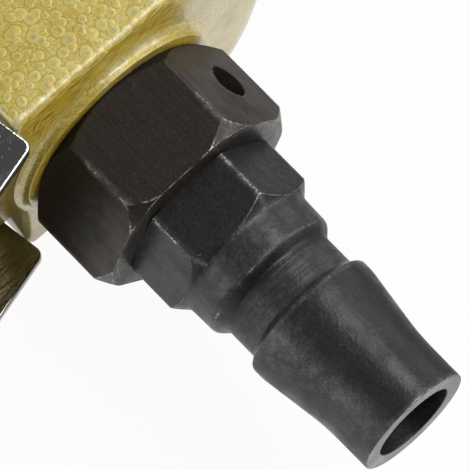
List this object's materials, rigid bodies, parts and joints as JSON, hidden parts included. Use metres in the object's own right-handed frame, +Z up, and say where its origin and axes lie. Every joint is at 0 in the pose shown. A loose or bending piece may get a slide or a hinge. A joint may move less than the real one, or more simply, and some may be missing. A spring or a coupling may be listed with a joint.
{
  "type": "air drill",
  "caption": "Straight air drill with a lever throttle, hammered gold housing, dark hexagonal inlet, quick-release air plug and keyed chuck.",
  "frame": {"origin": "on the spindle axis, between the tips of the chuck's jaws", "axes": "+X along the spindle out of the chuck, +Y towards the throttle lever, +Z up from the resting flat"},
  "size_m": [0.2343, 0.0581, 0.038],
  "materials": {
    "hammered_gold": "hammered gold enamel on die-cast aluminium",
    "case_steel": "turned dark steel",
    "bushing_black": "black oxide, brushed, worn on its edges",
    "plug_black": "black oxide, turned, worn on its edges",
    "lever_chrome": "polished chrome plate",
    "chuck_steel": "ground steel",
    "jaw_steel": "hardened dark steel",
    "gear_steel": "ground gear steel",
    "bearing_steel": "ground bearing steel",
    "motor_iron": "ground cast iron",
    "brass": "turned brass",
    "spring_steel": "drawn spring wire",
    "seal_rubber": "black nitrile rubber",
    "seal_felt": "pressed felt",
    "vane_phenolic": "laminated phenolic"
  },
  "bodies": {
    "housing": {"housing": "hammered_gold", "gear_case": "case_steel", "case_seal": "seal_rubber", "spindle_seal": "seal_felt", "spindle_bearing_front": "bearing_steel", "spindle_bearing_rear": "bearing_steel", "bearing_spacer": "gear_steel", "bearing_snap_ring": "spring_steel", "ring_gear": "gear_steel", "gear_spacer": "gear_steel", "front_end_plate": "motor_iron", "rotor_bearing_front": "bearing_steel", "motor_cylinder": "motor_iron", "cylinder_dowel": "bearing_steel", "rear_end_plate": "motor_iron", "rotor_bearing_rear": "bearing_steel", "inlet_bushing": "bushing_black", "inlet_seal": "seal_rubber", "inlet_screen": "brass", "air_plug": "plug_black", "lever_pin": "bearing_steel", "valve_bush": "brass", "valve_cap": "brass", "valve_spring": "spring_steel"},
    "lever": {"throttle_lever": "lever_chrome"},
    "valve": {"valve_stem": "bearing_steel", "valve_seal": "seal_rubber"},
    "spindle": {"spindle": "gear_steel", "spindle_race_front": "bearing_steel", "spindle_race_rear": "bearing_steel", "planet_pins": "bearing_steel", "carrier_ring": "gear_steel", "chuck_body": "chuck_steel", "chuck_screw": "jaw_steel"},
    "planet_1": {"planet_gear_1": "gear_steel"},
    "planet_2": {"planet_gear_2": "gear_steel"},
    "planet_3": {"planet_gear_3": "gear_steel"},
    "rotor": {"rotor": "gear_steel", "rotor_race_front": "bearing_steel", "rotor_race_rear": "bearing_steel", "rotor_vanes": "vane_phenolic", "rotor_pinion": "gear_steel"},
    "sleeve": {"chuck_sleeve": "chuck_steel", "chuck_nut": "jaw_steel"},
    "jaw_1": {"chuck_jaw_1": "jaw_steel"},
    "jaw_2": {"chuck_jaw_2": "jaw_steel"},
    "jaw_3": {"chuck_jaw_3": "jaw_steel"}
  },
  "joints": [
    {"name": "lever_swing", "type": "hinge", "parent": "housing", "child": "lever", "pos_m": [-0.189, 0.0155, 0], "axis": [0, 0, -1], "range_deg": [0, 8.5], "stiffness_Nm_per_rad": 0.5, "springref_deg": -17.19},
    {"name": "valve_slide", "type": "slide", "parent": "housing", "child": "valve", "axis": [0, -1, 0], "range_m": [0, 0.00325], "deforming": ["valve_spring"]},
    {"name": "spindle_spin", "type": "hinge", "parent": "housing", "child": "spindle", "pos_m": [-0.06, 0, 0], "axis": [1, 0, 0], "continuous": true},
    {"name": "rotor_spin", "type": "hinge", "parent": "housing", "child": "rotor", "pos_m": [-0.125, 0, 0], "axis": [1, 0, 0], "continuous": true},
    {"name": "planet_1_spin", "type": "hinge", "parent": "spindle", "child": "planet_1", "pos_m": [-0.0854, 0, 0.00945], "axis": [1, 0, 0], "continuous": true},
    {"name": "planet_2_spin", "type": "hinge", "parent": "spindle", "child": "planet_2", "pos_m": [-0.0854, -0.00818, -0.00473], "axis": [1, 0, 0], "continuous": true},
    {"name": "planet_3_spin", "type": "hinge", "parent": "spindle", "child": "planet_3", "pos_m": [-0.0854, 0.00818, -0.00473], "axis": [1, 0, 0], "continuous": true},
    {"name": "sleeve_turn", "type": "hinge", "parent": "spindle", "child": "sleeve", "pos_m": [-0.024, 0, 0], "axis": [1, 0, 0], "range_deg": [-2230, 928]},
    {"name": "jaw_1_slide", "type": "slide", "parent": "spindle", "child": "jaw_1", "axis": [0.9703, 0, -0.2419], "range_m": [-0.0124, 0.00517]},
    {"name": "jaw_2_slide", "type": "slide", "parent": "spindle", "child": "jaw_2", "axis": [0.9703, 0.2095, 0.121], "range_m": [-0.0124, 0.00517]},
    {"name": "jaw_3_slide", "type": "slide", "parent": "spindle", "child": "jaw_3", "axis": [0.9703, -0.2095, 0.121], "range_m": [-0.0124, 0.00517]}
  ],
  "couplings": [
    {"joint": "valve_slide", "follows": "lever_swing", "m_per_rad": 0.021664},
    {"joint": "rotor_spin", "follows": "spindle_spin", "ratio": 4.5},
    {"joint": "planet_1_spin", "follows": "spindle_spin", "ratio": -2.8},
    {"joint": "planet_2_spin", "follows": "spindle_spin", "ratio": -2.8},
    {"joint": "planet_3_spin", "follows": "spindle_spin", "ratio": -2.8},
    {"joint": "jaw_1_slide", "follows": "sleeve_turn", "m_per_rad": 0.00031831},
    {"joint": "jaw_2_slide", "follows": "sleeve_turn", "m_per_rad": 0.00031831},
    {"joint": "jaw_3_slide", "follows": "sleeve_turn", "m_per_rad": 0.00031831}
  ]
}
